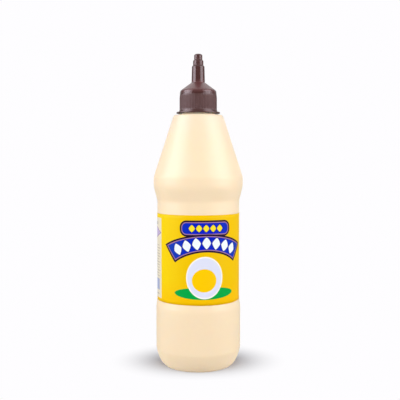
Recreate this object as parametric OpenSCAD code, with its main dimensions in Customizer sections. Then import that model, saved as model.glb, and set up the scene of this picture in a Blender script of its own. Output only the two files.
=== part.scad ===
// A squeeze bottle of mayonnaise: a blow-moulded bottle, its screw cap with a stepped
// nozzle, and a wrap-round label. All three are turned about the Z axis, the bottle
// stands on Z = 0 and the middle of the label's front faces -Y. Sizes are in millimetres.

/* [Bottle] */
// Diameter of the straight wall below the label
body_d = 79.8; // [68:0.1:96]
// Outer diameter of the ring that the bottle stands on
ring_d = 57; // [44:0.5:64]
// Width of the flat of that ring
ring_w = 2; // [1:0.1:5]
// Height of the hollow pushed up inside the ring
push_up = 2.4; // [1:0.1:3.5]
// Height of the rounded heel
heel_h = 17.5; // [10:0.5:24]
// Angle round the heel's quarter ellipse at which the wall meets it
heel_cut = 27; // [5:1:40]
// Height of the straight wall, from the heel to the step under the label
lower_h = 42; // [25:0.5:60]
// Height of the step in to the label's panel
step_h = 2.8; // [1.5:0.1:5]
// Depth of the label's panel below the wall
panel_inset = 1.3; // [0.6:0.1:3]
// Height of the panel
panel_h = 94.6; // [70:0.5:120]
// How far the swell over the panel stands out past the wall
swell_out = 2.1; // [0.5:0.1:4]
// Height over which the swell grows out of the panel
swell_h = 12.6; // [8:0.1:18]
// Height of the swell's straight girth
girth_h = 9.3; // [7:0.1:14]
// Height of the conical shoulder
shoulder_h = 57.8; // [45:0.1:72]
// Diameter of the shoulder where its slope reaches its top
shoulder_d = 46.2; // [45:0.2:56]

/* [Neck] */
// Diameter of the neck
neck_d = 30.4; // [22:0.1:37]
// Height of the neck over the shoulder
neck_h = 19.9; // [14:0.1:26]

/* [Cap] */
// Clearance between the neck and the cap's socket, on the radius
cap_fit = 0.15; // [0.05:0.05:0.4]
// Thickness of the cap's skirt, without its ribs
skirt_t = 1.75; // [1:0.05:3]
// Gap between the shoulder's top and the cap's flange
cap_gap = 1.5; // [0.5:0.1:3]
// Thickness of the flange
flange_t = 1.2; // [0.6:0.1:2]
// How far the flange stands out past the skirt
flange_out = 3.4; // [1.5:0.1:4]
// Height of the smooth band over the flange
band_h = 2.4; // [1.5:0.1:4]
// How far the smooth band stands out past the skirt
band_out = 0.75; // [0.5:0.05:1]
// Thickness of the cap over the neck, at the edge of its top
crown_t = 2.6; // [1.5:0.1:5]
// Number of ribs round the skirt
ribs = 72; // [36:2:96]
// Depth of a rib
rib_d = 0.4; // [0.2:0.05:0.5]
// Bare height between the ribs and the edge of the cap's top
rib_drop = 3.2; // [3:0.1:5]
// Height of the cap's conical top
cone_h = 7.9; // [4:0.1:12]

/* [Nozzle] */
// Diameter of the nozzle at its foot
foot_d = 12.6; // [11.9:0.1:16]
// Diameter of the nozzle at the top of its long step
barrel_d = 11.8; // [10.6:0.1:12.5]
// Height of the long step
barrel_h = 14.8; // [8:0.1:20]
// Diameter of the middle step
collar_d = 9.7; // [8.2:0.1:10.5]
// Height of the middle step
collar_h = 5.2; // [3.5:0.1:8]
// Diameter of the tip
tip_d = 7.7; // [5:0.1:8]
// Height of the tip
tip_h = 6.5; // [4:0.1:12]

/* [Label] */
// Thickness of the label
label_t = 0.15; // [0.1:0.05:0.3]
// Thickness of the glue under the label
glue_t = 0.05; // [0:0.01:0.1]
// Bare height between the step and the label's lower edge
label_foot = 1.2; // [0.5:0.1:6]
// Bare height between the label's upper edge and the swell
label_head = 11.9; // [2:0.1:20]
// Width of the lap where the label's end is glued over its start
lap_w = 6; // [3:0.5:12]
// Direction of the lap, in degrees from +X
lap_at = 29; // [0:1:360]

/* [Hidden] */

// Radii
body_r = body_d / 2;
ring_r = ring_d / 2;
panel_r = body_r - panel_inset;
swell_r = body_r + swell_out;
shoulder_r = shoulder_d / 2;
neck_r = neck_d / 2;
socket_r = neck_r + cap_fit;
skirt_r = socket_r + skirt_t;
label_r = panel_r + glue_t;

// Heights above the table
step_z = heel_h + lower_h;
panel_z = step_z + step_h;
swell_z = panel_z + panel_h;
girth_z = swell_z + swell_h;
slope_z = girth_z + girth_h;
shoulder_z = slope_z + shoulder_h;
neck_z = shoulder_z + neck_h;
flange_z = shoulder_z + cap_gap;
band_z = flange_z + flange_t;
rib_z = band_z + band_h;
crown_z = neck_z + crown_t;
foot_z = crown_z + cone_h;
barrel_z = foot_z + barrel_h;
collar_z = barrel_z + collar_h;
tip_z = collar_z + tip_h;
label_z = panel_z + label_foot;
label_h = panel_h - label_foot - label_head;

// Small radii and bevels
push_r = 4; // round at the edge of the push-up
ring_round = 0.5; // round inside the standing ring
step_r = 3; // rounds at the two ends of the step
swell_foot_r = 8; // hollow where the swell leaves the panel
swell_top_r = 26; // round where the swell reaches its girth
slope_r = 8; // round between the girth and the shoulder
shoulder_top_r = 1.8; // round at the shoulder's top
neck_foot_r = 1; // hollow at the neck's foot
neck_top_r = 0.6; // round at the neck's lip
crown_r = 3; // round at the edge of the cap's top
foot_r = 0.8; // hollow round the nozzle's foot
bevel_h = 1.4; // height of the bevels between the nozzle's steps
nozzle_r = 0.4; // rounds on the nozzle's steps
tip_bevel = 1.1; // bevel at the end of the tip
band_slope_h = 0.9; // height over which the smooth band runs in to the skirt
rib_share = 0.45; // half a rib's width at its root, as a part of the pitch
curve_step = 3; // largest turn between two points of a round, in degrees
heel_steps = 16; // points along the heel
round_fn = 180; // sides of the turned shapes when drawn as a mesh

// The point p turned about the origin by the angle a
function turned(p, a) = [p.x * cos(a) - p.y * sin(a), p.x * sin(a) + p.y * cos(a)];

// The direction from a to b
function direction(a, b) = (b - a) / norm(b - a);

// Points of the round of radius r at the corner b, between a and c
function corner_round(a, b, c, r) =
    let (
        to_a = direction(b, a),
        to_c = direction(b, c),
        half = acos(to_a * to_c) / 2,
        middle = b + (to_a + to_c) / norm(to_a + to_c) * r / sin(half),
        first = b + to_a * r / tan(half) - middle,
        sweep = sign(cross(to_c, to_a)) * (180 - 2 * half),
        steps = ceil(abs(sweep) / curve_step)
    )
    [for (i = [0:steps]) middle + turned(first, sweep * i / steps)];

// An outline whose corners are [radius, height, round], with its rounds worked out
function rounded(corners) = [
    for (i = [0:len(corners) - 1])
        let (
            here = [corners[i][0], corners[i][1]],
            r = corners[i][2],
            before = corners[max(i - 1, 0)],
            after = corners[min(i + 1, len(corners) - 1)]
        )
        each r > 0
            ? corner_round([before[0], before[1]], here, [after[0], after[1]], r)
            : [here]
];

// The heel: a quarter ellipse that rises from the ring and is cut off by the wall
heel_a = (body_r - ring_r) / cos(heel_cut);
heel_b = heel_h / (1 - sin(heel_cut));
heel = [
    for (i = [0:heel_steps])
        let (a = 90 - (90 - heel_cut) * i / heel_steps)
        [ring_r + heel_a * cos(a), heel_b * (1 - sin(a)), 0]
];

bottle_outline = rounded(concat(
    [
        [0, push_up, 0],
        [ring_r - ring_w - 2 * push_up, push_up, push_r],
        [ring_r - ring_w, 0, ring_round]
    ],
    heel,
    [
        [body_r, step_z, step_r],
        [panel_r, panel_z, step_r],
        [panel_r, swell_z, swell_foot_r],
        [swell_r, girth_z, swell_top_r],
        [swell_r, slope_z, slope_r],
        [shoulder_r, shoulder_z, shoulder_top_r],
        [neck_r, shoulder_z, neck_foot_r],
        [neck_r, neck_z, neck_top_r],
        [0, neck_z, 0]
    ]
));

cap_outline = rounded([
    [0, flange_z, 0],
    [skirt_r + flange_out, flange_z, 0],
    [skirt_r + flange_out, band_z, 0],
    [skirt_r + band_out, band_z, 0],
    [skirt_r + band_out, rib_z - band_slope_h, 0],
    [skirt_r, rib_z, 0],
    [skirt_r, crown_z, crown_r],
    [foot_d / 2, foot_z, foot_r],
    [barrel_d / 2, barrel_z, nozzle_r],
    [collar_d / 2, barrel_z + bevel_h, nozzle_r],
    [collar_d / 2, collar_z, nozzle_r],
    [tip_d / 2, collar_z + bevel_h, nozzle_r],
    [tip_d / 2, tip_z - tip_bevel, nozzle_r],
    [tip_d / 2 - tip_bevel, tip_z, nozzle_r],
    [0, tip_z, 0]
]);

module bottle() {
    color("#fbe2ba")
        rotate_extrude($fn = round_fn)
            polygon(bottle_outline);
}

// One rib in plan: a trapezium sunk in the skirt, half as wide at its crest as at its root
module rib() {
    root = 360 / ribs * rib_share;
    crest = root / 2;
    polygon([
        turned([skirt_r - rib_d, 0], -root),
        turned([skirt_r + rib_d, 0], -crest),
        turned([skirt_r + rib_d, 0], crest),
        turned([skirt_r - rib_d, 0], root)
    ]);
}

module cap() {
    color("#5a3d39")
        difference() {
            union() {
                rotate_extrude($fn = round_fn)
                    polygon(cap_outline);
                translate([0, 0, rib_z - band_slope_h])
                    linear_extrude(height = crown_z - rib_drop - rib_z + band_slope_h)
                        for (i = [0:ribs - 1])
                            rotate(i * 360 / ribs)
                                rib();
            }
            cylinder(h = neck_z, r = socket_r, $fn = round_fn);
        }
}

// A sleeve of film. The lap is a second layer, sunk half a thickness into the layer
// under it, so that the two are one sheet.
module label() {
    color("#fbc80f")
        translate([0, 0, label_z]) {
            rotate_extrude($fn = round_fn)
                translate([label_r, 0])
                    square([label_t, label_h]);
            rotate(lap_at)
                rotate_extrude(angle = lap_w / label_r * 180 / PI, $fn = round_fn)
                    translate([label_r + label_t / 2, 0])
                        square([label_t * 3 / 2, label_h]);
        }
}

bottle();
cap();
label();
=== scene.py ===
# %% [markdown]
# # A squeeze bottle of mayonnaise
#
# The real pack is three pieces that meet on a filling line: a bottle blown from polyethylene, a screw cap
# moulded in one piece with its nozzle, and a printed film label wrapped round the bottle and glued to
# itself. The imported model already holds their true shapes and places. This lesson keeps every size and
# gives each piece the skin, the small features and the finish that the plain solids don't have.

# %% Load the measured model
import math
from collections import namedtuple

import bpy
import numpy as np
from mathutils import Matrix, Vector


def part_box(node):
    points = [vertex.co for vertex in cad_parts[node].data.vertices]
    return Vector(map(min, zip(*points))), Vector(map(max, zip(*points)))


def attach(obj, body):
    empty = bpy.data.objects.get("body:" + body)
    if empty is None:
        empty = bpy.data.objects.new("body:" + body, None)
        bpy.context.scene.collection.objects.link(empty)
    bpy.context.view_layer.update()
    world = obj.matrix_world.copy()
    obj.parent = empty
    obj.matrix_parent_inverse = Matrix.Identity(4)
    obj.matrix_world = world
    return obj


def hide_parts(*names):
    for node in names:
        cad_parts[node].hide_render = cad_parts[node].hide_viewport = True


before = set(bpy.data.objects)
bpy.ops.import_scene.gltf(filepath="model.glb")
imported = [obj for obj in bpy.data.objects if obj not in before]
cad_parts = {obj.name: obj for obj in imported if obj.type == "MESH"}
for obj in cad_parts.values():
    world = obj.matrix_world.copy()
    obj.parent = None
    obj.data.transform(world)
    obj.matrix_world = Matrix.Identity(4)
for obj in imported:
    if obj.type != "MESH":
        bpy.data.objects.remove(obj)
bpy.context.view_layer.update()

MM = 0.001  # one millimetre in the scene's metres


def box_mm(node):
    """The lowest and highest corners of a CAD node, in millimetres."""
    return [np.array(corner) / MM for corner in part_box(node)]


bottle_high = box_mm("bottle")[1]
cap_low, cap_high = box_mm("cap")
label_low, label_high = box_mm("label")
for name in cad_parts:
    print(name, "lies between", *(corner.round(2) for corner in box_mm(name)))

# %% [markdown]
# ## Where the camera stands
#
# A pack shot is taken from a little over half a metre, with the lens just above the label and tipped down
# by three degrees. From so near, the label's lower edge bows more than its upper edge, and that bow is
# what makes the bottle look round, so the distance matters more than the focal length.

# %% The camera
CAMERA_AT = (0.00165, -0.65205, 0.19079)
CAMERA_TIPPED_DOWN = math.radians(2.9866)
LENS_MM = 62.1

lens = bpy.data.cameras.new("pack_shot")
lens.lens = LENS_MM
camera = bpy.data.objects.new("pack_shot", lens)
camera.location = CAMERA_AT
camera.rotation_euler = (math.pi / 2 - CAMERA_TIPPED_DOWN, 0, 0)
bpy.context.scene.collection.objects.link(camera)
bpy.context.scene.camera = camera
print("camera", round(-CAMERA_AT[1] / MM), "mm in front of the bottle's axis")

# %% [markdown]
# ## Turned surfaces
#
# All three pieces are turned shapes: an outline of radius against height, carried round the vertical axis.
# Blender's Spin tool or Screw modifier could turn them, but a grid of points worked out with numpy lets
# each point be nudged by its own angle and height. That is how the ribs, the parting line and the lap of
# the label come about, with no sculpting and no booleans.


# %% Outlines: rounding corners and spacing points
ROUND_TURN = math.radians(15)  # most that a round turns from one of its points to the next
PROP_INSET = 0.25  # from the end of a straight stretch to the point that keeps its shading flat
PROP_LONGEST = 6.0  # longest stretch without a point


def rounded(corners):
    """An outline whose corners are (radius, height, round), with its rounds worked out. A round of radius r
    touches both sides of its corner at r / tan(half the corner's angle) from it, and its middle lies on the
    line that halves the angle. It gets a point about every ROUND_TURN of its sweep."""
    outline = []
    befores = corners[:1] + corners
    afters = corners[1:] + corners[-1:]
    for before, (radius, height, size), after in zip(befores, corners, afters):
        here = np.array([radius, height])
        if size == 0:
            outline.append(here)
            continue
        back = np.subtract(before[:2], here)
        back = back / np.hypot(*back)
        on = np.subtract(after[:2], here)
        on = on / np.hypot(*on)
        half = math.acos(np.clip(back @ on, -1, 1)) / 2
        bisector = (back + on) / np.hypot(*(back + on))
        middle = here + bisector * size / math.sin(half)
        sweep = math.pi - 2 * half
        way = np.linspace(0, 1, max(2, math.ceil(sweep / ROUND_TURN)) + 1)
        first = here + back * size / math.tan(half) - middle
        last = here + on * size / math.tan(half) - middle
        share = np.stack([np.sin((1 - way) * sweep), np.sin(way * sweep)], axis=1) / math.sin(sweep)
        outline.extend(middle + share @ np.stack([first, last]))
    return np.array(outline)


def walked(outline):
    """How far along the outline each of its points lies: the running sum of the steps between them."""
    return np.concatenate([[0], np.cumsum(np.hypot(*np.diff(outline, axis=0).T))])


def evenly(outline, step):
    """The outline with a point about every `step` of the way along it."""
    way = walked(outline)
    even = np.linspace(0, way[-1], round(way[-1] / step) + 1)
    return np.stack([np.interp(even, way, column) for column in outline.T], axis=1)


def eased(outline, reach):
    """The outline with its sharp turns eased: each point becomes the weighted mean of its neighbours, with
    weights that fall off as a bell curve `reach` points wide. Mirrored ends hold the end points still."""
    offsets = np.arange(-3 * reach, 3 * reach + 1)
    bell = np.exp(-0.5 * (offsets / reach) ** 2)
    padded = [np.pad(column, 3 * reach, mode="reflect", reflect_type="odd") for column in outline.T]
    return np.stack([np.convolve(column, bell / bell.sum(), mode="valid") for column in padded], axis=1)


def propped(outline):
    """The outline with a point PROP_INSET from both ends of each straight stretch, and more along a long
    one, so that shading bends only at the rounds and no face is very long."""
    points = [outline[0]]
    for start, end in zip(outline[:-1], outline[1:]):
        length = np.hypot(*(end - start))
        if length > 4 * PROP_INSET:
            inset = PROP_INSET / length
            inner = np.linspace(inset, 1 - inset, max(2, math.ceil(length / PROP_LONGEST) + 1))
            points.extend(start + share * (end - start) for share in inner)
        points.append(end)
    return np.array(points)


# %% Grids of points into meshes
def turned(outline, angles):
    """A grid with a row for each point of the outline and a column for each angle: x is the radius times
    the cosine of the angle, y the radius times its sine, and z the height."""
    radius, height = outline.T[:, :, None]
    return np.stack(np.broadcast_arrays(radius * np.cos(angles), radius * np.sin(angles), height), axis=-1)


def quads(rows, columns):
    """The row and the column of each quad's four corners, anticlockwise as seen from outside. The last
    column's quads reach to a column one past the end, which is the first one again."""
    row, column = np.mgrid[0:rows, 0:columns].reshape(2, -1, 1)
    return row + np.array([0, 0, 1, 1]), column + np.array([0, 1, 1, 0])


def add_piece(name, points, faces, maps):
    """An object at the origin whose mesh has these points, in millimetres, these faces and these UV maps.
    A map is one (u, v) pair for each corner of each face, in the order of the faces."""
    mesh = bpy.data.meshes.new(name)
    mesh.from_pydata((points * MM).tolist(), [], faces)
    for map_name, pairs in maps.items():
        layer = mesh.uv_layers.new(name=map_name)
        layer.data.foreach_set("uv", np.asarray(pairs, np.float32).ravel())
    mesh.polygons.foreach_set("use_smooth", np.ones(len(mesh.polygons), bool))
    mesh.update()
    piece = bpy.data.objects.new(name, mesh)
    bpy.context.scene.collection.objects.link(piece)
    triangles = sum(len(face) - 2 for face in faces)
    print(name, "has", len(points), "points and", triangles, "triangles")
    return piece


# %% Closed pieces
def turned_piece(name, grid):
    """A closed piece from a grid whose first and last rows lie on the axis. Each of those rows becomes one
    point with a fan of triangles, and quads join the rings between. Its bake map is the unrolled grid: u is
    the share of a full turn, v the share of the way along the outline."""
    rows, columns = grid.shape[:2]
    rings = rows - 2
    row, column = quads(rings - 1, columns)
    faces = (row * columns + column % columns + 1).tolist()
    turn = np.arange(columns)
    ahead = (turn + 1) % columns
    last_ring = (rings - 1) * columns + 1
    faces += np.stack([0 * turn, ahead + 1, turn + 1], axis=1).tolist()
    faces += np.stack([0 * turn + rings * columns + 1, turn + last_ring, ahead + last_ring], axis=1).tolist()
    points = np.concatenate([grid[0, :1], grid[1:-1].reshape(-1, 3), grid[-1, :1]])

    u = np.arange(columns + 1) / columns
    v = walked(np.stack([np.hypot(grid[:, 0, 0], grid[:, 0, 1]), grid[:, 0, 2]], axis=1))
    v = v / v[-1]
    middle = (u[:-1] + u[1:]) / 2

    def fan(across, up):
        """The pairs of a fan's triangles, from the u and the v of their three corners."""
        return np.stack([np.stack(across, axis=1), np.tile(up, (columns, 1))], axis=-1).reshape(-1, 2)

    pairs = np.concatenate([
        np.stack([u[column], v[row + 1]], axis=-1).reshape(-1, 2),
        fan([middle, u[1:], u[:-1]], [0, v[1], v[1]]),
        fan([middle, u[:-1], u[1:]], [1, v[-2], v[-2]]),
    ])
    return add_piece(name, points, faces, {"OFBake": pairs})


# %% [markdown]
# ## Writing a finish as sums
#
# A finish that varies over a surface is a graph of small nodes, and a long one is hard to read when each
# node is added by hand. Here one class wraps a node's output and overloads the arithmetic signs, so that
# `1 - mask` adds the right Math node by itself, and one method adds every other kind of node.


# %% A socket that takes part in sums
class Reading:
    """What a node says about each spot of a surface. A sum of readings adds its Math nodes."""

    def __init__(self, finish, socket):
        self.finish = finish
        self.socket = socket

    def maths(self, operation, *terms, clamp=False):
        """One Math node on these terms, kept between 0 and 1 if clamp is set."""
        settings = {"operation": operation, "use_clamp": clamp}
        return self.finish.node("ShaderNodeMath", settings, dict(enumerate(terms)))

    def __add__(self, other):
        return self.maths("ADD", self, other)

    def __radd__(self, other):
        return self.maths("ADD", other, self)

    def __sub__(self, other):
        return self.maths("SUBTRACT", self, other)

    def __rsub__(self, other):
        return self.maths("SUBTRACT", other, self)

    def __mul__(self, other):
        return self.maths("MULTIPLY", self, other)

    def __rmul__(self, other):
        return self.maths("MULTIPLY", other, self)

    def __truediv__(self, other):
        return self.maths("DIVIDE", self, other)

    def __pow__(self, power):
        return self.maths("POWER", self, power)

    def __abs__(self):
        return self.maths("ABSOLUTE", self)

    def least(self, other):
        """The smaller of the two."""
        return self.maths("MINIMUM", self, other)

    def most(self, other):
        """The larger of the two."""
        return self.maths("MAXIMUM", self, other)

    def kept(self):
        """This reading, held between 0 and 1."""
        return self.maths("ADD", self, 0, clamp=True)


# %% The nodes of a finish
class Finish:
    """The nodes of a material or of the world, and the means to add to them."""

    def __init__(self, owner):
        owner.use_nodes = True
        self.owner = owner
        self.tree = owner.node_tree

    def feed(self, node, inputs):
        """Gives sockets of a node, by name or number, their values or their links."""
        for key, given in inputs.items():
            if isinstance(given, Reading):
                self.tree.links.new(given.socket, node.inputs[key])
            else:
                node.inputs[key].default_value = given

    def node(self, kind, settings=None, inputs=None, output=0):
        """Adds a node: its settings first, because they decide which sockets it has, then its inputs. The
        output, by name or number, is the one that is read."""
        made = self.tree.nodes.new(kind)
        for name, setting in (settings or {}).items():
            setattr(made, name, setting)
        self.feed(made, inputs or {})
        return Reading(self, made.outputs[output])

    def mixed(self, share, under, over):
        """The colour `under`, covered by the colour `over` to the share that a mask says. A Mix node has
        sockets of the same names for each kind of data, so the ones for colours go by number."""
        factor, first, second, result = 0, 6, 7, 2
        inputs = {factor: share, first: under, second: over}
        return self.node("ShaderNodeMix", {"data_type": "RGBA"}, inputs, result)

    def parts(self, vector):
        """The x, y and z of a vector."""
        return [self.node("ShaderNodeSeparateXYZ", {}, {0: vector}, axis) for axis in "XYZ"]

    def noise(self, vector, scale, detail=2.0):
        """Soft clouds from 0 to 1, `scale` of them to the unit of the vector."""
        inputs = {"Vector": vector, "Scale": scale, "Detail": detail, "Roughness": 0.5}
        return self.node("ShaderNodeTexNoise", {}, inputs)

    def uneven(self, vector, scale, least, most):
        """A number that wanders between two others in soft clouds."""
        return least + (most - least) * self.noise(vector, scale)

    def bump(self, height, depth):
        """A surface tipped as if raised by `depth` metres where the height is 1."""
        return self.node("ShaderNodeBump", {}, {"Strength": 1.0, "Distance": depth, "Height": height})

    def done(self):
        """Says how many nodes the finish took, and hands over its material or world."""
        print(self.owner.name, "has", len(self.tree.nodes), "nodes")
        return self.owner


# %% Starting a finish, fading it and choosing its tones
def new_finish(name):
    """A new material with its one shader, and the wrapper that adds to it."""
    finish = Finish(bpy.data.materials.new(name))
    return finish, finish.tree.nodes["Principled BSDF"]


def fade(reading, start, end):
    """0 where a reading is at `start` or short of it, 1 at `end` or past it, and even in between."""
    return ((reading - start) / (end - start)).kept()


def smooth(share):
    """A share of 0 to 1 that starts and ends softly: three times its square less twice its cube. It takes
    readings and numpy arrays alike."""
    return share * share * (3 - 2 * share)


def tone(red, green, blue):
    """A colour given in the 0 to 255 steps of a screen, as the share of light that it sends back: a step's
    share of 255, to the power of 2.2."""
    return tuple((step / 255) ** 2.2 for step in (red, green, blue)) + (1.0,)


# %% [markdown]
# ## The bottle
#
# The bottle is blown: a hot tube is caught between two halves of a mould and puffed out against them. The
# halves leave a fine parting line up two opposite sides, and where they nip the tube shut they leave a
# straight ridge across the hollow of the base. A blown wall is never quite true either, so its reflections
# wander a little. Sculpting would do for that, but a formula of angle and height is repeatable. The CAD
# solid's own corner points give the outline, because each of them lies on it.

# %% The bottle's outline
BOTTLE_STEP = 0.9  # between two rings
BOTTLE_EASE = 1  # rings over which a crease is eased
STEP_EASE = 3  # rings over which the step under the label is eased
STEP_REACH = 9.0  # how far that easing runs, up and down from the label's lower edge
RING_INNER = 27.5  # radius that parts the hollow of the base from the standing ring and the wall


def cad_outline(node):
    """The outline of a turned CAD node as rows of radius and height, in millimetres. The radius of a corner
    is the root of x squared plus y squared. The corners of one ring share it, so each ring is one row."""
    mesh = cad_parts[node].data
    flat = np.empty(len(mesh.vertices) * 3, np.float32)
    mesh.vertices.foreach_get("co", flat)
    x, y, z = flat.reshape(-1, 3).T / MM
    return np.unique(np.stack([np.hypot(x, y), z], axis=1).round(2), axis=0)


def from_foot_to_neck(rings, hollow_r):
    """Rings in the order of the outline: out over the hollow of the base, then up the wall, and inwards
    where rings lie at one height."""
    hollow = (rings[:, 0] < hollow_r) & (rings[:, 1] < bottle_high[2] / 2)
    under, over = rings[hollow], rings[~hollow]
    return np.concatenate([under[np.argsort(under[:, 0])], over[np.lexsort((-over[:, 0], over[:, 1]))]])


def slackened(rings, height):
    """The rings, with the wall's eased once more about a height. Each moves towards its eased place by a
    share that is 1 at the height and falls off on both sides: e to the power of minus the fourth power of
    the distance, counted in STEP_REACH."""
    share = np.exp(-((rings[:, 1] - height) / STEP_REACH) ** 4) * (rings[:, 0] > RING_INNER)
    return rings + share[:, None] * (eased(rings, STEP_EASE) - rings)


bottle_outline = from_foot_to_neck(cad_outline("bottle"), RING_INNER)
bottle_rings = slackened(eased(evenly(bottle_outline, BOTTLE_STEP), BOTTLE_EASE), label_low[2])
print("outline of", len(bottle_outline), "corners becomes", len(bottle_rings), "rings")

# %% The bottle's skin
BOTTLE_COLUMNS = 192
PARTING_AT = math.radians(12)  # direction of the parting line, from +X
PARTING_OUT = 0.07  # height of the parting line
PARTING_HALF = 0.22  # half its width
PARTING_COLUMNS = np.radians([-1.2, -0.8, -0.5, -0.25, 0, 0.25, 0.5, 0.8, 1.2])  # angles that draw it
COLUMN_GAP = math.radians(0.3)  # least turn between those angles and the even ones
NIP_OUT = 1.1  # height of the ridge in the base
NIP_HALF = 0.7  # half its width
NIP_REACH = 19.0  # half its length
NIP_TOP = 3.5  # height under which a point belongs to the base
SINK = 0.10  # deepest that the wall wanders inwards
WAVES = [(3, 31, 17, 0.8), (5, -23, 11, 0)]  # each has a count round the wall, a twist, a rise and a start
RUN_OUT = 2.0  # distance over which a feature of the skin runs out


def parting_angles():
    """Even angles, with more of them close to the parting line on both sides."""
    even = np.arange(BOTTLE_COLUMNS) * 2 * math.pi / BOTTLE_COLUMNS
    lines = PARTING_AT + np.concatenate([PARTING_COLUMNS, PARTING_COLUMNS + math.pi])
    clear = np.abs(np.angle(np.exp(1j * (even[:, None] - lines)))).min(axis=1) > COLUMN_GAP
    return np.sort(np.concatenate([even[clear], lines % (2 * math.pi)]))


def bell(distance, half):
    """1 in the middle and close to 0 past twice the half width, as a bell curve."""
    return np.exp(-(distance / half) ** 2)


def blown(grid):
    """The grid of a true turned bottle, made into a blown one. The wall rises by a bell curve of how far a
    point lies off the parting plane, and the base drops by one as far along that plane as the ridge runs.
    The wall also sinks by slow waves: each is a sine of the angle and the height times a sine of the
    height."""
    x, y, z = np.moveaxis(grid, -1, 0)
    radius = np.hypot(x, y)
    angle = np.arctan2(y, x)
    along = x * math.cos(PARTING_AT) + y * math.sin(PARTING_AT)
    off = y * math.cos(PARTING_AT) - x * math.sin(PARTING_AT)
    past_ring = np.clip((radius - RING_INNER - RUN_OUT / 2) / RUN_OUT, 0, 1)
    on_wall = past_ring * np.clip((cap_low[2] - RUN_OUT - z) / RUN_OUT, 0, 1)
    wander = sum(
        np.sin(count * angle + z / twist) * np.sin(z / rise + start) for count, twist, rise, start in WAVES
    )
    out = on_wall * (PARTING_OUT * bell(off, PARTING_HALF) - SINK * (0.5 + wander / 4))
    scale = 1 + out / np.maximum(radius, 1)
    nip = bell(off, NIP_HALF) * np.clip((NIP_REACH - np.abs(along)) / RUN_OUT, 0, 1)
    in_hollow = (z < NIP_TOP) & (radius < RING_INNER)
    return np.stack([x * scale, y * scale, z - NIP_OUT * nip * in_hollow], axis=-1)


bottle = turned_piece("blown_bottle", blown(turned(bottle_rings, parting_angles())))

# %% [markdown]
# ## The bottle's finish
#
# Squeeze bottles are a soft, waxy polyethylene that lets the cream inside show through. Light goes a little
# way in before it comes back, so the shader gets some subsurface scattering. The finish is satin, with a
# fine orange peel from the mould. In the upper half of the shoulder the fill ends, and with no cream behind
# it the wall turns a shade cooler.

# %% The bottle's material
CREAM = (0.97, 0.77, 0.53, 1.0)
CREAM_COOL = (0.94, 0.765, 0.56, 1.0)  # where no cream lies behind the wall
CREAM_DEEP = (0.92, 0.66, 0.41, 1.0)  # in the thickest of the clouds
CLOUD_SHARE = 0.10  # most of it that gets mixed in
FILL_Z = 205.0  # height at which the wall starts to turn cooler
EMPTY_Z = 238.0  # height at which it is coolest
WALL_CLOUDS = 28.0  # clouds to the metre
WALL_GLOSS_CLOUDS = 60.0
WALL_ROUGH = (0.36, 0.44)  # least and most roughness
PEEL_GRAINS = 900.0  # dimples of the orange peel to the metre
PEEL_DEPTH = 0.02 * MM


def cream_plastic():
    """Satin polyethylene over cream: cooler above the fill, with faint clouds and an orange peel."""
    finish, shader = new_finish("cream_polyethylene")
    place = finish.node("ShaderNodeTexCoord", output="Object")
    height = finish.parts(place)[2] / MM
    colour = finish.mixed(smooth(fade(height, FILL_Z, EMPTY_Z)), CREAM, CREAM_COOL)
    colour = finish.mixed(CLOUD_SHARE * finish.noise(place, WALL_CLOUDS, 3.0), colour, CREAM_DEEP)
    finish.feed(shader, {
        "Base Color": colour,
        "Roughness": finish.uneven(place, WALL_GLOSS_CLOUDS, *WALL_ROUGH),
        "Specular IOR Level": 0.37,
        "Subsurface Weight": 0.25,
        "Subsurface Radius": (1.0, 0.7, 0.4),
        "Subsurface Scale": 3 * MM,
        "Normal": finish.bump(finish.noise(place, PEEL_GRAINS), PEEL_DEPTH),
    })
    return finish.done()


bottle.data.materials.append(cream_plastic())
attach(bottle, "root")
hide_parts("bottle")

# %% [markdown]
# ## The cap
#
# The cap is one injection moulding: a thin flange that hides the gap over the shoulder, a smooth band, a
# skirt with fine ribs for the grip, and a cone that carries the stepped nozzle. It could be modelled as a
# turned body with 72 small boxes joined on, as the CAD solid is. Here the ribs are a shallow wave in the
# radius instead, eight columns to the rib, so that they are rounded and run out softly at both ends, as
# moulded ribs do. Every edge gets a small round, because it is the rounds that catch the light.

# %% The cap's outline
FLANGE_OUT = 3.4  # how far the flange stands out past the skirt
FLANGE_T = 1.2
BAND_H = 2.4  # smooth band over the flange
BAND_OUT = 0.75
BAND_SLOPE = 0.9  # height over which the band runs in to the skirt
SKIRT_T = 1.75
CROWN_T = 2.6  # thickness over the neck at the edge of the top
CONE_H = 7.9
BARREL_H = 14.8
COLLAR_H = 5.2
STEP_H = 1.4  # height of the bevels between the nozzle's steps
TIP_BEVEL = 1.1
FOOT_R = 6.3  # radii of the nozzle, from its foot to its tip
BARREL_R = 5.9
COLLAR_R = 4.85
TIP_R = 3.85
EDGE_ROUND = 0.3  # rounds of the cap's edges
FLANGE_ROUND = 0.35
BAND_ROUND = 0.5
CROWN_ROUND = 3.0
FOOT_ROUND = 0.8
NOZZLE_ROUND = 0.45

flange_z = cap_low[2]
tip_z = cap_high[2]
skirt_r = cap_high[0] - FLANGE_OUT
socket_r = skirt_r - SKIRT_T
crown_z = bottle_high[2] + CROWN_T
rib_z = flange_z + FLANGE_T + BAND_H
foot_z = crown_z + CONE_H
barrel_z = foot_z + BARREL_H
collar_z = barrel_z + COLLAR_H

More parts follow.
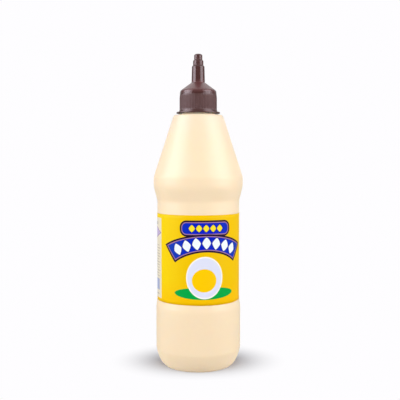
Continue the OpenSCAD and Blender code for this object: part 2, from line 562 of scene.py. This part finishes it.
cap_outline = propped(rounded([
    (0, bottle_high[2], 0),
    (socket_r, bottle_high[2], EDGE_ROUND),
    (socket_r, flange_z, EDGE_ROUND),
    (skirt_r + FLANGE_OUT, flange_z, EDGE_ROUND),
    (skirt_r + FLANGE_OUT, flange_z + FLANGE_T, FLANGE_ROUND),
    (skirt_r + BAND_OUT, flange_z + FLANGE_T, BAND_ROUND),
    (skirt_r + BAND_OUT, rib_z - BAND_SLOPE, BAND_ROUND),
    (skirt_r, rib_z, EDGE_ROUND),
    (skirt_r, crown_z, CROWN_ROUND),
    (FOOT_R, foot_z, FOOT_ROUND),
    (BARREL_R, barrel_z, NOZZLE_ROUND),
    (COLLAR_R, barrel_z + STEP_H, NOZZLE_ROUND),
    (COLLAR_R, collar_z, NOZZLE_ROUND),
    (TIP_R, collar_z + STEP_H, NOZZLE_ROUND),
    (TIP_R, tip_z - TIP_BEVEL, NOZZLE_ROUND),
    (TIP_R - TIP_BEVEL, tip_z, NOZZLE_ROUND),
    (0, tip_z, 0),
]))
print("cap outline of", len(cap_outline), "points, skirt radius", round(skirt_r, 2))

# %% The cap's skin
RIBS = 72
COLUMNS_PER_RIB = 8
RIB_FOOT = 0.2  # how far the hollows between the ribs stand out past the bare skirt
RIB_OUT = 0.4  # how far the ribs' crests do
RIB_DROP = 3.2  # bare height between the ribs and the edge of the top
RIB_END = 0.7  # height over which a rib runs out


def ribbed(grid):
    """The grid with ribs on the skirt: the radius grows by a cosine of the angle that runs from RIB_FOOT to
    RIB_OUT, times a ramp that is 1 along the skirt and falls to 0 over RIB_END at the ends of the ribs."""
    x, y, z = np.moveaxis(grid, -1, 0)
    radius = np.hypot(x, y)
    crest = 0.5 + 0.5 * np.cos(RIBS * np.arctan2(y, x))
    ramp = np.clip((z - rib_z) / RIB_END + 1, 0, 1) * np.clip((crown_z - RIB_DROP - z) / RIB_END, 0, 1)
    outside = radius > (socket_r + skirt_r) / 2
    rise = (RIB_FOOT + (RIB_OUT - RIB_FOOT) * crest) * ramp
    out = np.minimum(radius + rise, np.maximum(radius, skirt_r + RIB_OUT))
    scale = np.where(outside, out / np.maximum(radius, 1), 1)
    return np.stack([x * scale, y * scale, z], axis=-1)


cap_angles = np.arange(RIBS * COLUMNS_PER_RIB) * 2 * math.pi / (RIBS * COLUMNS_PER_RIB)
cap = turned_piece("screw_cap", ribbed(turned(cap_outline, cap_angles)))

# %% [markdown]
# ## The cap's finish
#
# The cap is dark brown polypropylene, coloured all through, with a very fine grain from its mould. The
# ribbed skirt looks nearly matt, because its ribs scatter the light. The band under it, the top and the
# nozzle are smooth, and long soft reflections of the lamps run up them. One roughness that follows the
# height says all that. The reading of the height is used again for painted light: the cone of the top,
# which faces up, gets a lighter, redder brown, as if lit from above.

# %% The cap's material
BROWN = (0.062, 0.019, 0.016, 1.0)
BROWN_WORN = (0.076, 0.027, 0.024, 1.0)
BROWN_PAINTED_LIT = (0.125, 0.038, 0.038, 1.0)  # painted light on the cone of the top, which faces up: a lighter, redder brown
LIT_TOP_WITHIN = 2.96  # height about the middle of the cone within which all of that painted light is mixed in
LIT_TOP_UNTIL = 6.91  # height about it at which the painted light is gone
CAP_CLOUDS = 90.0  # clouds to the metre
CAP_GLOSS_CLOUDS = 150.0
CAP_ROUGH = (0.15, 0.21)  # least and most roughness of the bare plastic
SKIRT_ROUGHER = 0.44  # how much rougher the ribbed skirt is
SKIRT_FADE = 2.0  # height over which that comes in, under the top
BAND_SHARE = 0.3  # share of it that the smooth band has
NOZZLE_ROUGHER = 0.14  # how much rougher the nozzle's upper steps are
NOZZLE_FADE = 2.0
TOP_ROUGHER = 0.08  # how much rougher the cone of the top is, where its brown is painted lighter
GRAINS = 1800.0  # grains to the metre
GRAIN_DEPTH = 0.02 * MM


def brown_plastic():
    """Brown polypropylene: two close browns in soft clouds, a lighter, redder brown painted on the cone of
    the top as light from above, a fine grain, and a roughness that is low on the band, high on the skirt and
    between the two on the nozzle."""
    finish, shader = new_finish("brown_polypropylene")
    place = finish.node("ShaderNodeTexCoord", output="Object")
    height = finish.parts(place)[2] / MM
    # Painted light: the cone of the top faces up, and this mask paints it a lighter, redder brown.
    painted_lit_top = fade(abs(height - (crown_z + foot_z) / 2), LIT_TOP_UNTIL, LIT_TOP_WITHIN)
    ribs_end = crown_z - RIB_DROP
    over_band = BAND_SHARE + (1 - BAND_SHARE) * fade(height, rib_z, rib_z + 1)
    skirt = fade(height, ribs_end, ribs_end - SKIRT_FADE) * over_band
    steps = fade(height, barrel_z, barrel_z + NOZZLE_FADE)
    rougher = SKIRT_ROUGHER * skirt + NOZZLE_ROUGHER * steps + TOP_ROUGHER * painted_lit_top
    colour = finish.mixed(finish.noise(place, CAP_CLOUDS, 3.0), BROWN, BROWN_WORN)
    finish.feed(shader, {
        "Base Color": finish.mixed(painted_lit_top, colour, BROWN_PAINTED_LIT),
        "Roughness": finish.uneven(place, CAP_GLOSS_CLOUDS, *CAP_ROUGH) + rougher,
        "IOR": 1.5,
        "Normal": finish.bump(finish.noise(place, GRAINS), GRAIN_DEPTH),
    })
    return finish.done()


cap.data.materials.append(brown_plastic())
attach(cap, "root")
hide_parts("cap")

# %% [markdown]
# ## The label
#
# The label is one strip of film, 0.15 mm thick, wrapped round the sunken panel and glued to itself. Round
# the back its end lies over its start for 6 mm, and that lap shows as a fine step. A cylinder with a
# Solidify modifier would lose the step. So the sleeve is a grid that goes once round the bottle, starting
# at the film's free end, where the radius is one film larger. The grid also carries a map in millimetres:
# the way round from the middle of the front, and the height over the film's lower edge. The print is drawn
# on that map, so it can be measured with a ruler.

# %% The label's sleeve
FILM_T = 0.15
LAP_FROM = math.radians(119)  # angle round from the front to the film's free end
LAP_WIDTH = 6.0
LAP_RUN_OUT = 1.5  # width over which the film comes back down to one layer
LAP_EDGE = math.radians(0.02)  # angle that the free end's cut edge takes up
LABEL_COLUMNS = 361
LABEL_ROWS = 28
BAKE_MARGIN = 0.01  # bare edge of the bake map, left and right
HALF_TURN_V = (0.005, 0.48)  # where the two half turns of the outside start on it
HALF_TURN_H = 0.465  # and how high they are
INSIDE_V = 0.955
INSIDE_H = 0.015
TOP_EDGE_V = 0.975
FOOT_EDGE_V = 0.99
EDGE_H = 0.005

label_z = label_low[2]
label_h = label_high[2] - label_z
label_r = label_high[0]
from_front = np.linspace(LAP_FROM - 2 * math.pi, LAP_FROM - LAP_EDGE, LABEL_COLUMNS)
once_round = np.append(from_front, LAP_FROM)


def sleeve():
    """A grid that goes up the outside of the film and down its inside, with a column for each angle from
    the front. The outer radius is one film larger within the lap, and falls back by a smooth step after."""
    way = (from_front - from_front[0]) * label_r
    down = np.clip((way - LAP_WIDTH) / LAP_RUN_OUT, 0, 1)
    outer = label_r + FILM_T * (1 - smooth(down))
    heights = np.linspace(label_z, label_z + label_h, LABEL_ROWS + 1)
    inner = np.full(len(way), label_r - FILM_T)
    radius = np.repeat([outer, inner], len(heights), axis=0)
    height = np.broadcast_to(np.concatenate([heights, heights[::-1]])[:, None], radius.shape)
    return np.stack([radius * np.sin(from_front), -radius * np.cos(from_front), height], axis=-1)


def sleeve_maps(row, column, height):
    """The label's two maps. The first is in millimetres: the way round from the front, and the height over
    the lower edge. The second is for baking: the outside as two half turns, one over the other, so that the
    print gets the most room, then the inside and the two edges as thin strips."""
    angle, up = once_round[column], height / label_h
    in_mm = np.stack([angle * label_r, height], axis=-1)
    first_row, first_column = row[:, :1], column[:, :1]
    half = first_column >= LABEL_COLUMNS // 2
    share = (angle - once_round[0]) / (2 * math.pi)
    outside = first_row < LABEL_ROWS
    u = BAKE_MARGIN + (1 - 2 * BAKE_MARGIN) * np.where(outside, 2 * share - half, share)
    v = np.where(outside, np.where(half, *HALF_TURN_V[::-1]) + HALF_TURN_H * up, INSIDE_V + INSIDE_H * up)
    v = np.where(first_row == LABEL_ROWS, TOP_EDGE_V + EDGE_H * (row - first_row), v)
    v = np.where(first_row == 2 * LABEL_ROWS + 1, FOOT_EDGE_V + EDGE_H * (row - first_row), v)
    return {"label_mm": in_mm.reshape(-1, 2), "OFBake": np.stack([u, v], axis=-1).reshape(-1, 2)}


sleeve_grid = sleeve()
label_rings, label_columns = sleeve_grid.shape[:2]
row, column = quads(label_rings, label_columns)
heights = sleeve_grid[row % label_rings, 0, 2] - label_z
label_faces = row % label_rings * label_columns + column % label_columns
label = add_piece(
    "printed_label", sleeve_grid.reshape(-1, 3), label_faces.tolist(), sleeve_maps(row, column, heights)
)

# %% [markdown]
# ## The print
#
# The film is printed yellow, with the same picture on both fronts and a white panel of small print between
# them on both sides. A picture could be painted and wrapped on, but each field here is a simple shape, and
# a shape can be written as a distance: below zero inside, zero on its outline, above zero outside. Ink is
# then the distance, clipped. The same distance also gives a band of even width along the outline, which is
# how the dark edge and the lilac line of the badge and the ribbon, and the white rim of the egg, come for
# free. Rows of plain lozenges stand where a pack carries its words.


# %% Shapes as distances
INK_EDGE = 0.22  # width over which ink fades at an outline, in millimetres
Field = namedtuple("Field", "middle half corner", defaults=[0.0])  # a shape's place, half sizes and round


def ink(distance):
    """How much ink a spot gets: half on the outline, all of it half an edge further in."""
    return distance.maths("MULTIPLY_ADD", distance, -1 / INK_EDGE, 0.5, clamp=True)


def reach(x, y):
    """The distance from the origin: the root of x squared plus y squared."""
    return (x * x + y * y) ** 0.5


def from_middle(x, y, field):
    """The place, measured from the middle of a field."""
    return x - field.middle[0], y - field.middle[1]


def oval(x, y, field):
    """An ellipse: the spot's reach, counted in half widths and half heights, less 1, times the smaller."""
    x, y = from_middle(x, y, field)
    return (reach(x / field.half[0], y / field.half[1]) - 1) * min(field.half)


def box(x, y, field):
    """A rectangle with rounded corners: how far the spot lies past the middle of the corner's round, less
    the round itself."""
    x, y = from_middle(x, y, field)
    past_x = abs(x) - (field.half[0] - field.corner)
    past_y = abs(y) - (field.half[1] - field.corner)
    return reach(past_x.most(0), past_y.most(0)) + past_x.most(past_y).least(0) - field.corner


def lozenge(x, y, field, swell):
    """A lozenge with bowed sides: the sum of the two shares of a half size, each to the power `swell`, less
    1. A power of 1 gives straight sides and one of 2 an ellipse."""
    x, y = from_middle(x, y, field)
    lean = (abs(x) / field.half[0]) ** swell + (abs(y) / field.half[1]) ** swell
    return (lean - 1) * (min(field.half) / swell)


def rows_of(x, pitch):
    """The place within one step of a row, from minus half the pitch to half of it."""
    return x.maths("WRAP", x, pitch / 2, -pitch / 2)


# %% Inks
LEMON = tone(245, 209, 2)
# a darker yellow, painted shade on the right of each front
AMBER = tone(242, 195, 2)
DEEP_AMBER = tone(252, 188, 2)
BLUE = tone(0, 36, 194)
# painted sheen: the paler, greyer blue of the badge's and the ribbon's ends, where the film turns away
SHEEN_BLUE = tone(28, 72, 166)
NIGHT_BLUE = tone(14, 24, 104)
NAVY = tone(36, 22, 48)
LILAC = tone(158, 116, 150)
WHITE = tone(240, 247, 252)
EGG_RIM = tone(250, 249, 240)
EGG_WHITE = tone(223, 226, 246)
GREEN = tone(0, 166, 72)
YOLK = tone(254, 202, 0)
LETTER_YELLOW = tone(250, 226, 50)
GREY = tone(168, 164, 158)
PANEL_WHITE = tone(230, 221, 196)
PANEL_LILAC = tone(196, 180, 214)
PANEL_PURPLE = tone(132, 104, 164)
PANEL_BLUE = tone(166, 176, 208)
print("the ribbon's blue sends back", [round(share, 2) for share in BLUE[:3]], "of red, green and blue")

# %% Sizes of the front, in millimetres from its middle and from the film's lower edge
FRONT_AT = 6.6  # how far round the first front's middle lies
OUTLINE = 1.5  # width of the dark edge of the badge and the ribbon
LINE = 0.85  # width of the lilac line inside it
LEAF = Field((-0.2, 11.0), (28.9, 5.6))
EGG = Field((-0.45, 25.1), (17.1, 19.15))
EGG_RIM_WIDTH = 1.0
YOLK_OVAL = Field((-1.0, 22.7), (11.3, 10.45))
BADGE = Field((0.7, 69.7), (24.4, 7.25), 6.4)
BADGE_MARK = Field((0, 0), (2.75, 3.2))
BADGE_MARKS = 5
BADGE_PITCH = 6.5  # from one of the badge's lozenges to the next
RIBBON_AT = 1.1
RIBBON_TOP = (64.4, 89.8)  # height of the upper arc at its crown, and its radius
RIBBON_FOOT = (48.25, 50.3)  # height of the lower arc at its crown, and its radius
RIBBON_CORNER = (42.1, 54.8)  # upper corner of the ribbon's end
RIBBON_LOW_CORNER = (30.3, 39.0)
RIBBON_MARK = Field((0, 0), (3.9, 5.3))
RIBBON_MARKS = 7
RIBBON_PITCH = 9.2
MARK_ARC = (56.4, 66.0)  # height of the arc on which those stand, at its crown, and its radius
MARK_RIM = 0.5  # width of the dark rim round a lozenge
MARK_SWELL = 1.3
print("the ribbon takes", 2 * RIBBON_CORNER[0], "mm of the film's", round(2 * math.pi * label_r, 1), "mm")


# %% The picture on a front
def edged(finish, paper, distance, fill):
    """Paper with a shape printed on it: a dark edge, then a lilac line inside it, then its fill."""
    paper = finish.mixed(ink(distance), paper, NAVY)
    paper = finish.mixed(ink(distance + OUTLINE), paper, LILAC)
    return finish.mixed(ink(distance + (OUTLINE + LINE)), paper, fill)


def ribbon(x, y):
    """A bowed ribbon: under the upper arc, over the lower arc and inside two slanted ends, so its distance
    is the largest of the three."""
    crown, top_r = RIBBON_TOP
    hollow, foot_r = RIBBON_FOOT
    top = reach(x, y - (crown - top_r)) - top_r
    foot = foot_r - reach(x, y - (hollow - foot_r))
    slant = np.subtract(RIBBON_CORNER, RIBBON_LOW_CORNER)
    slant = slant / np.hypot(*slant)
    end = (abs(x) - RIBBON_CORNER[0]) * float(slant[1]) - (y - RIBBON_CORNER[1]) * float(slant[0])
    return top.most(foot).most(end)


def marks(finish, paper, along, across, mark, count, pitch, fill):
    """Paper with a row of lozenges, each with a dark rim. The row repeats without end, so what lies past
    `count` of them is cut off, by taking the larger of the two distances."""
    past_row = abs(along) - count * pitch / 2
    distance = lozenge(rows_of(along, pitch), across, mark, MARK_SWELL)
    paper = finish.mixed(ink((distance - MARK_RIM).most(past_row)), paper, NIGHT_BLUE)
    return finish.mixed(ink(distance.most(past_row)), paper, fill)


def front(finish, paper, x, y):
    """A leaf, an egg with its rim and its yolk, a badge with a row of lozenges, and a ribbon with one that
    follows an arc: the way along it is the angle times the radius."""
    paper = finish.mixed(ink(oval(x, y, LEAF)), paper, GREEN)
    egg = oval(x, y, EGG)
    paper = finish.mixed(ink(egg), paper, EGG_RIM)
    paper = finish.mixed(ink(egg + EGG_RIM_WIDTH), paper, EGG_WHITE)
    paper = finish.mixed(ink(oval(x, y, YOLK_OVAL)), paper, YOLK)

    # Painted sheen: the blue turns paler and greyer towards the ends, where the film turns away.
    blue = finish.mixed((abs(x) / RIBBON_CORNER[0]).kept() ** 2, BLUE, SHEEN_BLUE)
    paper = edged(finish, paper, box(x, y, BADGE), blue)
    badge_place = from_middle(x, y, BADGE)
    paper = marks(finish, paper, *badge_place, BADGE_MARK, BADGE_MARKS, BADGE_PITCH, LETTER_YELLOW)

    ribbon_x = x - RIBBON_AT
    paper = edged(finish, paper, ribbon(ribbon_x, y), blue)
    crown, radius = MARK_ARC
    from_hub = y - (crown - radius)
    along = x.maths("ARCTAN2", ribbon_x, from_hub) * radius
    across = reach(ribbon_x, from_hub) - radius
    return marks(finish, paper, along, across, RIBBON_MARK, RIBBON_MARKS, RIBBON_PITCH, WHITE)


# %% The small print on a side
PANEL = Field((0, 40.4), (13.05, 37.3), 0.6)
PANEL_BADGE = Field((0, 64.0), (12.6, 5.4))
PANEL_BADGE_RIM = 0.7
TEXT = Field((0, 37.5), (9.4, 15.5))
TEXT_RAG = 1.6  # how much longer or shorter half a line may be
TEXT_BEAT = 2.4  # angle that its sine turns by from line to line
LINE_PITCH = 2.6
STROKE = 0.5  # half the thickness of a line
BLOCK = Field((0, 15.6), (8.8, 5.2), 0.4)
FOOT_LINE = Field((0, 6.6), (7.5, 0.7))
HEAD_LINE = Field((0, 72.4), (4.5, 1.4))
TEXT_INK = 0.55  # how strong the grey of the lines is
END_INK = 0.7  # and that of the head and the foot


def small_print(finish, paper, x, y):
    """A white field with a lilac lozenge, grey lines and a pale blue block. Half a line's length is a sine
    of the line's number about a middle length."""
    paper = finish.mixed(ink(box(x, y, PANEL)), paper, PANEL_WHITE)
    badge = lozenge(x, y, PANEL_BADGE, 1.0)
    paper = finish.mixed(ink(badge), paper, PANEL_PURPLE)
    paper = finish.mixed(ink(badge + PANEL_BADGE_RIM), paper, PANEL_LILAC)
    line = y.maths("FLOOR", y / LINE_PITCH + 0.5)
    half = TEXT.half[0] + TEXT_RAG * line.maths("SINE", line * TEXT_BEAT)
    strokes = abs(rows_of(y, LINE_PITCH)) - STROKE
    text = strokes.most(abs(x) - half).most(abs(y - TEXT.middle[1]) - TEXT.half[1])
    paper = finish.mixed(TEXT_INK * ink(text), paper, GREY)
    paper = finish.mixed(ink(box(x, y, BLOCK)), paper, PANEL_BLUE)
    ends = box(x, y, FOOT_LINE).least(box(x, y, HEAD_LINE))
    return finish.mixed(END_INK * ink(ends), paper, GREY)


# %% The label's material
AMBER_FROM = -39.0  # way round a front at which the yellow starts to turn from lemon to a darker amber, a painted shade
AMBER_TO = -14.0
AMBER_DRIFT = 4.0  # how far clouds carry that to the side
DEEP_UNDER = 22.0  # height under which it turns deeper still
DEEP_SHARE = 0.6  # how deep it is at the lower edge
FILM_CLOUDS = 45.0  # clouds to the metre
FILM_GLOSS_CLOUDS = 70.0
FILM_ROUGH = (0.40, 0.48)  # least and most roughness
GLUE_LUMPS = 160.0  # lumps of the glue to the metre
GLUE_DEPTH = 0.04 * MM


def printed_film():
    """Dull film with its print on a yellow that deepens to the right, a painted shade, and downwards, and a
    faintly uneven glue under it. The fronts and the side panels each repeat after half a turn."""
    finish, shader = new_finish("printed_film")
    spot = finish.node("ShaderNodeTexCoord", output="Object")
    way, up, _ = finish.parts(finish.node("ShaderNodeUVMap", {"uv_map": "label_mm"}))
    half_turn = math.pi * label_r
    x = rows_of(way - FRONT_AT, half_turn)
    panel_x = rows_of(way - FRONT_AT - half_turn / 2, half_turn)
    drift = AMBER_DRIFT * finish.noise(spot, FILM_CLOUDS, 3.0)
    # Painted shade: the yellow turns a darker amber towards the right of each front.
    paper = finish.mixed(fade(x + drift, AMBER_FROM, AMBER_TO), LEMON, AMBER)
    paper = finish.mixed(DEEP_SHARE * fade(up, DEEP_UNDER, 0), paper, DEEP_AMBER)
    paper = small_print(finish, paper, panel_x, up)
    paper = front(finish, paper, x, up)
    finish.feed(shader, {
        "Base Color": paper,
        "Roughness": finish.uneven(spot, FILM_GLOSS_CLOUDS, *FILM_ROUGH),
        "Specular IOR Level": 0.05,
        "Normal": finish.bump(finish.noise(spot, GLUE_LUMPS), GLUE_DEPTH),
    })
    return finish.done()


label.data.materials.append(printed_film())
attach(label, "root")
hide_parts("label")

# %% [markdown]
# ## The studio
#
# The pack stands on a white table that runs off into white. A lamp does two jobs: it lights a surface, and
# it shows in the surface as a highlight. One lamp could do both, but then neither can be set without the
# other, so the jobs are split here. Two low key lamps and the room light the matt colours. Two softboxes at
# the sides and one overhead show only as reflections, and draw the long highlights on the nozzle and the
# cap. For reflections the room in front is nearly dark, as black flags make it in a studio, so that the cap
# stays brown between its highlights.

# %% The table
TABLE_R = 3.0  # in metres, as all of the studio
TABLE_RINGS = 24
TABLE_COLUMNS = 96
COOL_WHITE = (0.991, 0.983, 1.0, 1.0)
SHADE_AT = 0.012  # how far behind the axis the middle of the shaded oval lies
SHADE_HALF = (0.088, 0.069)  # its half sizes across and away from the camera
SHADE_CORE = 0.42  # share of those sizes within which no white light is mixed in
SHADOW_GREY_SEEN = (0.485, 0.505, 0.558, 1.0)  # the paper in the oval, to the camera: a grey that is painted shadow
PAPER_UNSEEN = (0.92, 0.92, 0.93, 1.0)  # the same paper, as it lights the pack
GLOW_UNSEEN = 0.33  # strength of the white light that the pack gets, where the camera gets 1


def disc(radius, rings, columns):
    """A flat disc about the origin as a grid of rings, whose radii grow with the square of their number, so
    that they lie closer together near the middle."""
    ring = radius * np.linspace(0, 1, rings + 1)[1:] ** 2
    angle = np.arange(columns) * 2 * math.pi / columns
    flat = np.zeros((rings, columns))
    grid = np.stack([np.outer(ring, np.cos(angle)), np.outer(ring, np.sin(angle)), flat], axis=-1)
    row, column = quads(rings - 1, columns)
    faces = (row * columns + column % columns)[:, ::-1].tolist() + [list(range(columns))]
    mesh = bpy.data.meshes.new("table")
    mesh.from_pydata(grid.reshape(-1, 3).tolist(), [], faces)
    return bpy.data.objects.new("table", mesh)


def table_white():
    """Grey paper in an oval round the pack, a painted shadow that also takes the pack's real shadow and its
    reflection, and plain white light further out. The camera sees the paper darker than the pack does, and
    the light whiter, so that what faces down stays in shade. The light's share is 1 less the square of a
    fade from the oval's edge."""
    finish, shader = new_finish("table_white")
    x, y, _ = finish.parts(finish.node("ShaderNodeTexCoord", output="Object"))
    place = reach(x / SHADE_HALF[0], (y - SHADE_AT) / SHADE_HALF[1])
    shade = fade(place, 1, SHADE_CORE)
    seen = finish.node("ShaderNodeLightPath", output="Is Camera Ray")
    # Painted shadow: to the camera the paper in the oval is grey.
    paper = finish.mixed(seen, PAPER_UNSEEN, SHADOW_GREY_SEEN)
    finish.feed(shader, {"Base Color": paper, "Roughness": 0.9, "Specular IOR Level": 0.0})
    strength = GLOW_UNSEEN + (1 - GLOW_UNSEEN) * seen
    glow = finish.node("ShaderNodeEmission", {}, {"Color": COOL_WHITE, "Strength": strength})
    inputs = {0: 1 - shade * shade, 1: Reading(finish, shader.outputs[0]), 2: glow}
    both = finish.node("ShaderNodeMixShader", {}, inputs)
    finish.feed(finish.tree.nodes["Material Output"], {"Surface": both})
    return finish.done()


table = disc(TABLE_R, TABLE_RINGS, TABLE_COLUMNS)
bpy.context.scene.collection.objects.link(table)
table.data.materials.append(table_white())

# %% The lamps
AIM = Vector((0, 0, 0.16))
SIDE_SIZE = (0.90, 0.95)  # width and height
TOP_SIZE = (1.2, 0.9)
KEY_SIZE = (0.8, 0.6)
MAUVE = (1.0, 0.93, 1.03)
PINK = (1.0, 0.93, 1.0)
PLAIN = (1.0, 1.0, 1.0)
LAMPS = [
    # name, degrees round from the camera's side, degrees up, distance, size, watts, colour, what it is for
    ("left_softbox", -74, 25, 1.0, SIDE_SIZE, 15.8, MAUVE, "gloss"),
    ("right_softbox", 66, 25, 1.0, SIDE_SIZE, 12.3, PINK, "gloss"),
    ("top_softbox", 180, 62, 1.1, TOP_SIZE, 2.0, PLAIN, "gloss"),
    ("left_key", -60, 6, 1.1, KEY_SIZE, 7.1, PLAIN, "matt"),
    ("right_key", 60, 6, 1.1, KEY_SIZE, 6.9, PLAIN, "matt"),
]


def add_lamp(name, side, rise, distance, size, watts, colour, job):
    """A rectangular lamp, aimed at the middle of the pack, that either shows in reflections or lights matt
    surfaces. It stands on a ball about the pack, at the angle `side` round and the angle `rise` up."""
    lamp = bpy.data.lights.new(name, "AREA")
    lamp.shape = "RECTANGLE"
    lamp.size, lamp.size_y = size
    lamp.energy = watts
    lamp.color = colour
    held = bpy.data.objects.new(name, lamp)
    side = math.radians(side)
    rise = math.radians(rise)
    across = distance * math.cos(rise) * math.sin(side)
    away = -distance * math.cos(rise) * math.cos(side)
    held.location = AIM + Vector((across, away, distance * math.sin(rise)))
    held.rotation_euler = (AIM - held.location).to_track_quat("-Z", "Y").to_euler()
    held.visible_diffuse = job == "matt"
    held.visible_glossy = job == "gloss"
    bpy.context.scene.collection.objects.link(held)
    print(name, "of", watts, "W for", job, "surfaces,", round(held.location.z / MM), "mm up")


for lamp in LAMPS:
    add_lamp(*lamp)

# %% The white room
WALL_LIGHT = 1.04  # light that matt surfaces get from straight ahead
CEILING_LESS = 0.64  # how much less they get from straight above
FRONT_GLOSS = 0.06  # how bright the room in front looks in reflections
BACK_GLOSS = 0.6  # how much brighter it looks behind the pack
TOP_GLOSS = 0.8  # how much brighter it looks overhead


def white_room():
    """White to the camera. To matt surfaces its light falls off in step with the upward part of the
    direction. To reflections it is dim, but grows with that part and with the square of the part away from
    the camera."""
    finish = Finish(bpy.data.worlds.new("white_room"))
    seen = finish.node("ShaderNodeLightPath", output="Is Camera Ray")
    mirrored = finish.node("ShaderNodeLightPath", output="Is Glossy Ray")
    _, back, rise = finish.parts(finish.node("ShaderNodeTexCoord", output="Generated"))
    matt = WALL_LIGHT - CEILING_LESS * rise.most(0)
    gloss = FRONT_GLOSS + BACK_GLOSS * back.most(0) ** 2 + TOP_GLOSS * rise.most(0)
    unseen = mirrored * gloss + (1 - mirrored) * matt
    strength = seen + (1 - seen) * unseen
    finish.feed(finish.tree.nodes["Background"], {"Color": COOL_WHITE, "Strength": strength})
    return finish.done()


scene = bpy.context.scene
scene.world = white_room()
scene.view_settings.view_transform = "Standard"
scene.cycles.use_denoising = True
